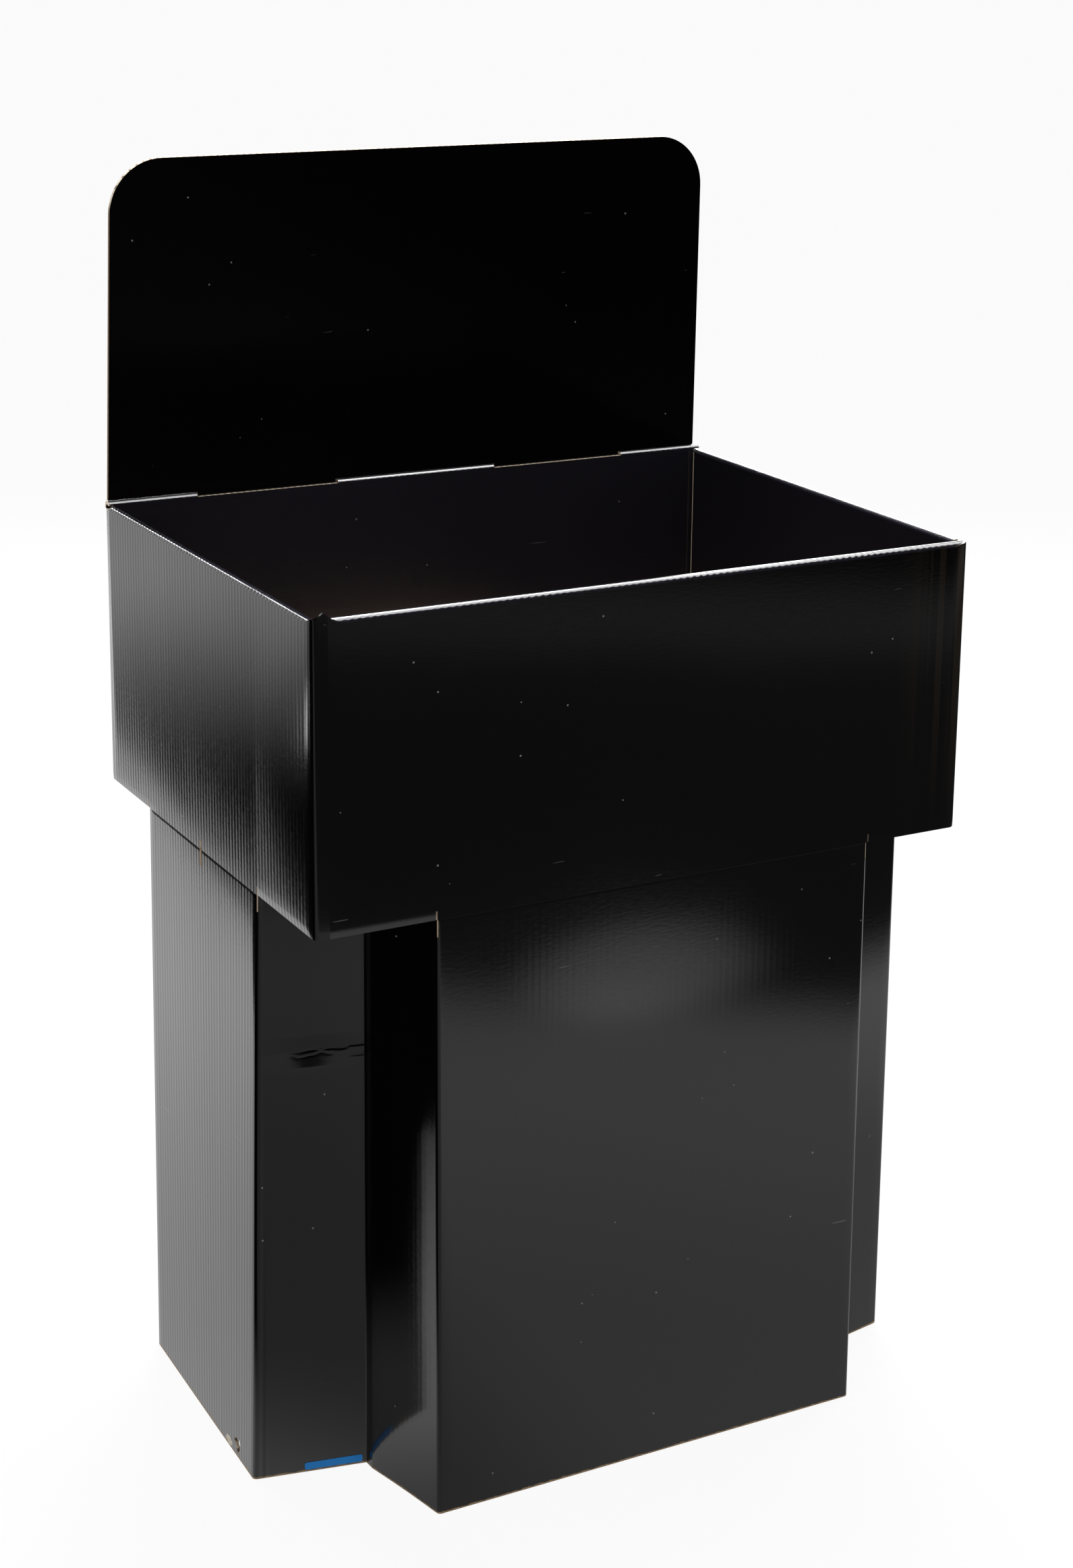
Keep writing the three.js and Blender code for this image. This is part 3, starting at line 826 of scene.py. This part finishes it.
score = np.clip(1 - (base_height - grid_z) / score_half, 0, 1) * score_depth
middle_x = base_points[..., 0] - right_wall / 2
middle_y = base_points[..., 1] - bin_depth / 2
base_points[..., 0] -= score * np.sign(middle_x) * (abs(middle_x) > face_reach[0])
base_points[..., 1] -= score * np.sign(middle_y) * (abs(middle_y) > face_reach[1])

base_walls = sheet_object(
    "base_walls",
    [patch(base_points, base_heights, cuts=base_cuts, drop=torn_quads)],
    sheet_finishes,
)
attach(base_walls, "root")
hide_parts("bin_body")


# The bin's outer walls
# Four walls fold round the bin above the base. The front left corner has a second crease whose
# strip stands up in a pinched point, and at the front right the raw edge of the right wall laps
# over the glued flap. Over the popped corners the lower edges are cut and curl in a little.
rim_fold_level = rim_level - rim_outer
corner_rows = 4
pinch_x = (0.0, 0.004, 0.0095, 0.0178)
pinch_rise = (rim_outer, rim_outer + 0.001, rim_outer + 0.0055, 0.0015)
corner_rise = 0.0030
bow_depth = 0.0009
curl_depth = 0.0004
curl_reach = 0.008
lap_round = 0.0006
cut_spacing = 0.01
bin_spacing = 0.012
wall_rows = 24

slit_cut = (0.0, base_height + slit_above)
rear_y = bin_depth - rear_right["y"][0]
left_rear_y = bin_depth - rear_left["y"][0]
front_y = front_right["y"][0]
front_y_cut = front_y - slit_width
rear_x = right_wall - rear_right["x"][0]
front_x = right_wall - front_right["x"][0]

bin_corners = [
    (strip_width, 0.0, "fold", None, None),
    (front_left["x"][0] - slit_width, 0.0, "soft", cut_spacing, slit_cut),
    (front_left["x"][0], 0.0, "soft", None, None),
    (front_x, 0.0, "soft", cut_spacing, slit_cut),
    (front_x + slit_width, 0.0, "soft", None, None),
    (bin_width - 2 * lap_round, 0.0, "soft", None, None),
    (bin_width, lap_round, "soft", None, None),
    (bin_width, lap_inset, "soft", None, None),
    (right_wall, lap_inset, "soft", None, None),
    (right_face(front_y_cut), front_y_cut, "soft", cut_spacing, slit_cut),
    (right_face(front_y), front_y, "soft", None, None),
    (right_face(web_low), web_low, "soft", cut_spacing, slit_cut),
    (right_face(web_high), web_high, "soft", None, None),
    (right_face(rear_y), rear_y, "soft", cut_spacing, slit_cut),
    (right_face(rear_y + slit_width), rear_y + slit_width, "soft", None, None),
    (right_face(bin_depth), bin_depth, "fold", None, None),
    (rear_x + slit_width, bin_depth, "soft", cut_spacing, slit_cut),
    (rear_x, bin_depth, "soft", None, None),
    (rear_left["x"][0], bin_depth, "soft", cut_spacing, slit_cut),
    (rear_left["x"][0] - slit_width, bin_depth, "soft", None, None),
    (0.0, bin_depth, "fold", None, None),
    (0.0, left_rear_y + slit_width, "soft", cut_spacing, slit_cut),
    (0.0, left_rear_y, "soft", None, None),
    (0.0, web_high, "soft", cut_spacing, slit_cut),
    (0.0, web_low, "soft", None, None),
    (0.0, front_left["y"][0], "soft", cut_spacing, slit_cut),
    (0.0, front_left["y"][0] - slit_width, "soft", None, None),
    (0.0, strip_depth, "fold", 0.002, None),
]
wall_heights = np.unique(np.round(np.concatenate([
    base_height + np.array((0, 0.0014, 0.003, 0.0045, 0.006)),
    np.linspace(base_height + slit_above, rim_fold_level, wall_rows),
]), 5))
wall_points, wall_cuts = bent_sheet(bin_corners, wall_heights, bin_spacing)
beside_front = (wall_points[..., 0] < front_left["x"][0]) | (wall_points[..., 0] > front_x)
beside_side = (wall_points[..., 1] < front_left["y"][0]) | (wall_points[..., 1] > rear_y)
curl = curl_depth * np.clip(1 - (wall_heights - base_height) / curl_reach, 0, 1)[:, None] ** 2
wall_points[..., 1] += curl * (beside_front & (wall_points[..., 1] < board))
wall_points[..., 0] += curl * (beside_side & (wall_points[..., 0] < board))

bow_reach = front_left["y"][0]
bow = np.sin(np.pi * np.clip(wall_points[..., 1] / bow_reach, 0, 1)) * (wall_points[..., 0] < board)
bow = bow * np.sin(np.pi * (wall_heights - base_height) / (rim_fold_level - base_height))[:, None]
wall_points[..., 0] -= bow_depth * bow

lap_column = (
    (abs(wall_points[0, :-1, 1] - lap_inset) < 1e-6)
    & (abs(wall_points[0, 1:, 1] - lap_inset) < 1e-6)
)
raw_faces = np.broadcast_to(lap_column, (len(wall_heights) - 1, len(lap_column)))


def pinched(top):
    """Heights of the corners above the fold: a point over the front left strip, and plain ends
    at the other corners."""
    x, y = top[:, 0], top[:, 1]
    peak = np.interp(x, pinch_x, pinch_rise)
    at_strip = (y < strip_depth + 0.006) & (x < pinch_x[-1])
    near_x = (x < rim_outer) | (x > right_wall - rim_outer)
    near_y = (y < rim_outer) | (y > bin_depth - rim_outer)
    plain = np.where(near_x & near_y, corner_rise, 0.0)
    return np.where(at_strip, peak, plain)


top_rise = pinched(wall_points[-1])
top_share = np.linspace(0, 1, corner_rows)[:, None]
top_heights = rim_fold_level + top_rise * top_share
top_points = np.broadcast_to(wall_points[-1], (corner_rows,) + wall_points[-1].shape)
low_corner = (top_rise[:-1] <= 0) & (top_rise[1:] <= 0)
top_drop = np.broadcast_to(low_corner, (corner_rows - 1, len(low_corner)))
wall_grid = patch(wall_points, wall_heights, cuts=wall_cuts, raw=raw_faces)
top_grid = patch(top_points, top_heights, drop=top_drop)

corner_points = sheet_object("corner_points", [top_grid], (black_film, brown_liner, black_film))
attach(corner_points, "root")
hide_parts("bin_body")

bin_walls = sheet_object("bin_walls", [wall_grid], sheet_finishes)
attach(bin_walls, "root")
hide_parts("bin_body")


# The rims and inner walls
# The board is scored twice along each wall's top, folds over to the inside and hangs down to the
# bin's floor. Each flute is crushed where a score crosses it, so the folds are scalloped. The left
# rim's top slopes inwards.
rim_flat = 0.0008
rim_width = 2 * rim_outer + rim_flat
tab_play = 0.0005
rear_rim_width = max(3 * board + 2 * tab_play, rim_width)
rear_rim_rise = 0.003
rest_play = 0.0003
inner_foot = base_height + rest_play + board + rest_play
rim_steps = 6
flute_samples = 5
hang_rows = (0.006, 0.014, 0.03)
hang_start = 0.06
scallop = 0.0005
left_slope = 0.28
header_left = 0.001
header_width = 0.6115
slot_inset = 0.084
slot_length = 0.140
first_slot = header_left + slot_inset
last_slot = header_left + header_width - slot_inset
slot_spans = ((first_slot, first_slot + slot_length), (last_slot - slot_length, last_slot))


def rim_ribbon(
    start, end, level, width, spans=(), trim=(0.0, 0.0), bare_end=False, slope=0.0
):
    """One wall's rim and inner wall. The profile climbs the wall's last millimetres, turns in
    through two quarter rounds with a flat between them, and hangs down inside; it is carried
    along the wall. The rounds sink and rise by a cosine of the flutes, whose size wanders by two
    sines. A slope lowers the profile by its share of the way in. The inner wall's ends are trimmed
    back, a bare end shows raw paper, and spans along the wall are slotted through the flat."""
    start, end = np.array(start), np.array(end)
    length = np.linalg.norm(end - start)
    along = (end - start) / length
    aside = np.array((-along[1], along[0]))
    regular = np.linspace(0, length, int(round(length / flute * flute_samples)) + 1)
    edges = [edge for span in spans for edge in span]
    s = np.unique(np.round(np.concatenate([regular, edges]), 6)) if edges else regular
    angle = np.linspace(0, np.pi / 2, rim_steps + 1)
    lowest_row = level - rim_outer - inner_foot - slope * width
    down = np.concatenate([hang_rows, np.linspace(hang_start, lowest_row, 7)])
    inset = np.concatenate([
        rim_outer * (1 - np.cos(angle)),
        width - rim_outer + rim_outer * np.sin(angle),
        np.full(len(down), width),
    ])
    z = np.concatenate([
        level - rim_outer + rim_outer * np.sin(angle),
        level - rim_outer + rim_outer * np.cos(angle),
        level - rim_outer - down,
    ])
    z = z - slope * inset
    if level - rim_outer > rim_fold_level + 1e-5:
        inset = np.concatenate([[0.0], inset])
        z = np.concatenate([[rim_fold_level], z])
    rows = len(z)
    crushed = np.cos(2 * np.pi * s / flute) * (0.6 + 0.4 * np.sin(s * 61.0) * np.sin(s * 23.0))
    turned = np.clip((z - (level - rim_outer)) / rim_outer, 0, 1)
    bent = 4 * turned * (1 - turned)
    sink = scallop * bent[:, None] * (0.5 + 0.5 * crushed[None, :])
    depth = inset[:, None] + sink * 0.7
    plan = start + along * s[None, :, None] + aside * depth[..., None]
    heights = z[:, None] - sink * 0.7
    centre_inset = (inset[1:] + inset[:-1]) / 2
    centre_s = (s[1:] + s[:-1]) / 2
    drop = np.zeros((rows - 1, len(s) - 1), bool)
    through = (centre_inset > board) & (centre_inset < width - 0.0003)
    top = (z[1:] + z[:-1]) / 2 > level - rim_outer
    for span in spans:
        inside = (centre_s > span[0]) & (centre_s < span[1])
        drop |= (through & top)[:, None] & inside[None, :]
    hanging = centre_inset > width - 1e-4
    at_end = abs(centre_s - (length - trim[1])) < flute / flute_samples
    peeled = hanging[:, None] & at_end[None, :] & bare_end
    ends = (centre_s < trim[0]) | (centre_s > length - trim[1])
    drop |= hanging[:, None] & ends[None, :]
    return patch(plan, heights, drop=drop, raw=peeled)


rim_gap = 0.0012
inner_gap = board + 0.001
end_gap = 0.0025
rear_inset = 0.0005
strip_lap = 0.003
glue_gap = 0.001
near = rim_width + rim_gap
far = bin_depth - rear_rim_width - rim_gap
rear_level = rim_level + rear_rim_rise
rear_right_x = right_face(bin_depth)
rear_spans = [(rear_right_x - high, rear_right_x - low) for low, high in reversed(slot_spans)]

front_rim = rim_ribbon(
    (strip_width - strip_lap, 0.0),
    (bin_width - glue_gap, 0.0),
    rim_level,
    rim_width,
    trim=(0.0, inner_gap),
)
right_rim = rim_ribbon(
    (right_face(near), near),
    (right_face(far), far),
    rim_level,
    rim_width,
    trim=(0.0, end_gap),
    bare_end=True,
)
rear_rim = rim_ribbon(
    (rear_right_x - rear_inset, bin_depth),
    (rear_inset, bin_depth),
    rear_level,
    rear_rim_width,
    spans=[(low - rear_inset, high - rear_inset) for low, high in rear_spans],
    trim=(inner_gap, inner_gap),
)
left_rim = rim_ribbon(
    (0.0, far), (0.0, near), rim_level, rim_width, trim=(end_gap, 0.0), slope=left_slope
)
# The rims and inner walls take the lighter copy of the film, which is painted light.
bin_rims = sheet_object(
    "bin_rims",
    [front_rim, right_rim, rear_rim, left_rim],
    (painted_light_inner_film, brown_liner, raw_edge),
)
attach(bin_rims, "root")
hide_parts("bin_body")


# The header panel
# A panel of the same board with round top corners. Its tabs drop into the rear rim's slots and
# its shoulders rest on the rim. It has warped: its top leans further forward at the left.
header_height = 0.3054
header_radius = 0.048
left_lean = 0.027
right_lean = 0.0035
tab_clearance = 0.0015
tab_depth = 0.062
tab_columns = 15
tab_rows = 5
round_columns = 17
straight_columns = 65
header_rows = 33
header_foot = rear_level + rest_play
header_front = bin_depth - (rear_rim_width + board) / 2


def header_face():
    """Each column runs from the shoulder to the panel's top edge, which drops round a quarter
    circle at both ends. The panel leans forward in step with height, by a lean that changes
    evenly along it."""
    turn = np.linspace(0, np.pi / 2, round_columns)
    corner = header_radius * (1 - np.cos(turn))
    straight = np.linspace(header_radius, header_width - header_radius, straight_columns)[1:-1]
    x = np.concatenate([corner, straight, header_width - corner[::-1]])
    drop = np.concatenate([
        header_radius * (1 - np.sin(turn)), 0 * straight, header_radius * (1 - np.sin(turn[::-1]))
    ])
    share = np.linspace(0, 1, header_rows)[:, None]
    height = share * (header_height - drop)
    lean = left_lean + (right_lean - left_lean) * x / header_width
    y = header_front - lean * height / header_height
    plan = np.stack([np.broadcast_to(header_left + x, y.shape), y], -1)
    return patch(plan, header_foot + height)


def header_tab(span):
    """A flat grid below the shoulders, a little narrower than its slot."""
    x = np.linspace(span[0] + tab_clearance, span[1] - tab_clearance, tab_columns)
    z = np.linspace(header_foot - tab_depth, header_foot, tab_rows)
    plan = np.stack(np.meshgrid(x, np.full(len(z), header_front)), -1)
    return patch(plan, z)


header_film = laminate(
    "header_film", (0.0007, 0.0006, 0.0009, 1.0), 0.13, 0.16, 0.000026, index=1.28, coat=0.0
)
header = sheet_object(
    "header",
    [header_face()] + [header_tab(span) for span in slot_spans],
    (header_film, brown_liner, raw_edge),
)
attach(header, "root")
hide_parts("header_panel")


# The bin's floor and the web
# Both are plain brown board. The floor rests on the popped corners' top edges, and the web
# stands across the base with a tab in each side wall.
for node_name in ("bin_floor", "centre_support"):
    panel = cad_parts[node_name]
    panel.data.materials.clear()
    panel.data.materials.append(brown_liner)


# The label
# A strip of blue paper glued along the foot of the front left recess. It is bare.
paper_label, blue = finished("blue_label")
label_place = blue.node("ShaderNodeTexCoord", output="Object")
label_grain = blue.noise(label_place, 900.0)
label_cloud = blue.noise(label_place, 60.0)
blue.close({
    "Base Color": blue.mix(label_cloud, (0.003, 0.22, 0.66, 1.0), (0.006, 0.28, 0.78, 1.0)),
    "Roughness": 0.38 + 0.2 * label_grain,
    "Normal": blue.bump(label_grain * 0.00004),
})
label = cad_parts["plain_label"]
label.data.materials.clear()
label.data.materials.append(paper_label)
